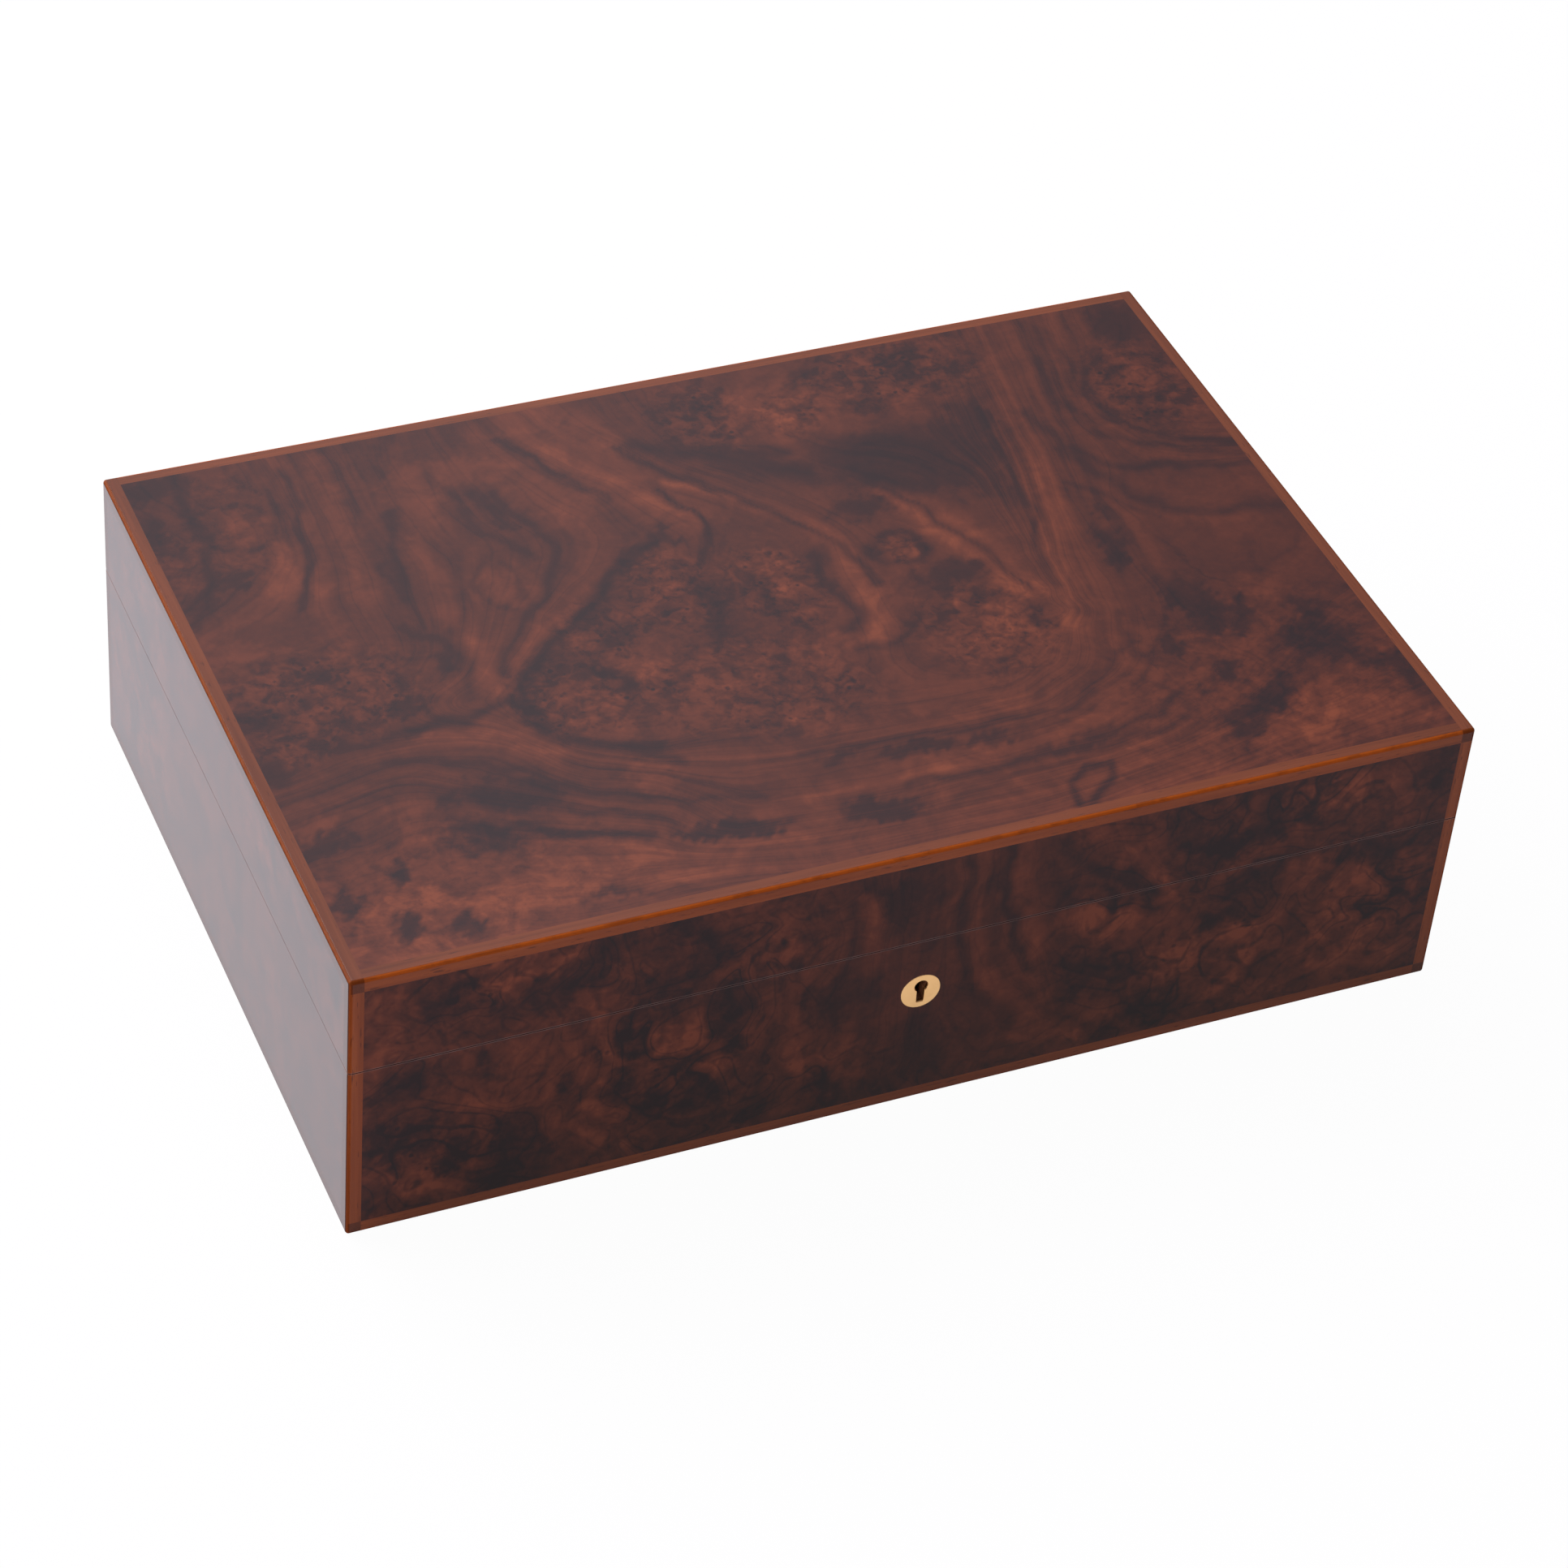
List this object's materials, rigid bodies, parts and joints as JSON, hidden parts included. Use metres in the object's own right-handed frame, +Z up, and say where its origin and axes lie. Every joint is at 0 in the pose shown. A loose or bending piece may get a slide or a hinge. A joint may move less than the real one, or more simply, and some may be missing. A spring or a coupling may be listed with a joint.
{
  "type": "humidor",
  "caption": "Hinged, lockable box for cigars in gloss burl veneer, with a cedar lining, a lift-out tray, a humidifier and a hygrometer.",
  "frame": {"origin": "on the surface the box stands on, under the middle of the closed case", "axes": "+X to the right along the front, +Y towards the hinges at the back, +Z up"},
  "size_m": [0.4, 0.2743, 0.1134],
  "materials": {
    "burl_veneer": "high gloss lacquered walnut burl",
    "walnut_banding": "high gloss lacquered straight-grained wood",
    "core_wood": "bare",
    "spanish_cedar": "bare, finely sanded",
    "green_felt": "napped",
    "polished_brass": "polished",
    "brass_screws": "polished",
    "spring_steel": "bright",
    "bolt_steel": "bright",
    "gilt_case": "polished",
    "dial_card": "matt printed",
    "clear_glass": "polished",
    "needle_metal": "black enamel",
    "black_plastic": "fine texture",
    "shutter_plastic": "fine texture",
    "humidifier_foam": "open-celled phenolic foam"
  },
  "bodies": {
    "base": {"base_front_wall": "core_wood", "base_back_wall": "core_wood", "base_left_wall": "core_wood", "base_right_wall": "core_wood", "base_bottom_panel": "core_wood", "base_felt": "green_felt", "base_bottom_long_banding": "walnut_banding", "base_bottom_end_banding": "walnut_banding", "base_corner_banding": "walnut_banding", "base_front_veneer": "burl_veneer", "base_back_veneer": "burl_veneer", "base_end_veneers": "burl_veneer", "base_front_liner": "spanish_cedar", "base_back_liner": "spanish_cedar", "base_left_liner": "spanish_cedar", "base_right_liner": "spanish_cedar", "base_floor_liner": "spanish_cedar", "tray_ledges": "spanish_cedar", "lower_divider": "spanish_cedar", "lock_case": "polished_brass", "lock_cover": "polished_brass", "lock_key_pin": "spring_steel", "lock_spring": "spring_steel", "keyhole_escutcheon": "polished_brass", "hinge_base_leaves": "polished_brass", "hinge_pins": "polished_brass", "base_screws": "brass_screws"},
    "lock_bolt": {"lock_bolt": "bolt_steel"},
    "tray": {"tray_front_wall": "spanish_cedar", "tray_back_wall": "spanish_cedar", "tray_left_wall": "spanish_cedar", "tray_right_wall": "spanish_cedar", "tray_floor": "spanish_cedar"},
    "tray_divider": {"tray_divider": "spanish_cedar"},
    "lid": {"lid_front_wall": "core_wood", "lid_back_wall": "core_wood", "lid_left_wall": "core_wood", "lid_right_wall": "core_wood", "lid_top_panel": "core_wood", "lid_top_veneer": "burl_veneer", "lid_front_veneer": "burl_veneer", "lid_back_veneer": "burl_veneer", "lid_end_veneers": "burl_veneer", "lid_top_long_banding": "walnut_banding", "lid_top_end_banding": "walnut_banding", "lid_corner_banding": "walnut_banding", "lid_long_liners": "spanish_cedar", "lid_end_liners": "spanish_cedar", "lid_ceiling_liner": "spanish_cedar", "hinge_lid_leaves": "polished_brass", "lid_screws": "brass_screws", "strike_plate": "polished_brass", "hygrometer_case": "gilt_case", "hygrometer_dial": "dial_card", "hygrometer_glass": "clear_glass", "hygrometer_coil": "spring_steel", "humidifier_case": "black_plastic", "humidifier_foam": "humidifier_foam"},
    "hygrometer_needle": {"hygrometer_needle": "needle_metal"},
    "humidifier_shutter": {"humidifier_shutter": "shutter_plastic"}
  },
  "joints": [
    {"name": "lid_hinge", "type": "hinge", "parent": "base", "child": "lid", "pos_m": [0, 0.135, 0.07385], "axis": [-1, 0, 0], "range_deg": [0, 95]},
    {"name": "tray_lift", "type": "slide", "parent": "base", "child": "tray", "axis": [0, 0, 1], "range_m": [0, 0.006]},
    {"name": "tray_divider_slide", "type": "slide", "parent": "tray", "child": "tray_divider", "axis": [1, 0, 0], "range_m": [-0.12, 0.228]},
    {"name": "bolt_slide", "type": "slide", "parent": "base", "child": "lock_bolt", "axis": [1, 0, 0], "range_m": [0, 0.006]},
    {"name": "needle_turn", "type": "hinge", "parent": "lid", "child": "hygrometer_needle", "pos_m": [0.108, 0, 0.0926], "axis": [0, 0, 1], "range_deg": [-189, 81], "stiffness_Nm_per_rad": 0.000002},
    {"name": "vent_shutter_slide", "type": "slide", "parent": "lid", "child": "humidifier_shutter", "axis": [1, 0, 0], "range_m": [0, 0.004]}
  ]
}
